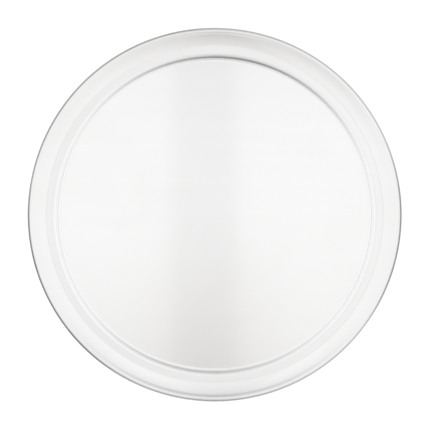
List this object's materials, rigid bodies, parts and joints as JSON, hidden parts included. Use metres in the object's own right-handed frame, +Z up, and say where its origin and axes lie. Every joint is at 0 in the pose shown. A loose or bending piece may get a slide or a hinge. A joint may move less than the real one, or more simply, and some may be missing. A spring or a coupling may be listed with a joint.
{
  "type": "pizza pan",
  "caption": "Round pressed aluminium pizza pan with a flat base, a short steep wall and a wide, gently rising rim whose edge is rolled into a bead over a stiffening steel wire",
  "frame": {"origin": "middle of the underside of the flat base, on the pan's axis", "axes": "+Z up along the pan's axis, out of the baking surface; +X and +Y lie in the plane of the base, and the pan is round about Z"},
  "size_m": [0.3048, 0.3048, 0.0079],
  "materials": {
    "aluminium_sheet": "satin mill finish",
    "steel_wire": "drawn bright wire"
  },
  "bodies": {
    "root": {"pan": "aluminium_sheet", "rim_wire": "steel_wire"}
  },
  "joints": []
}
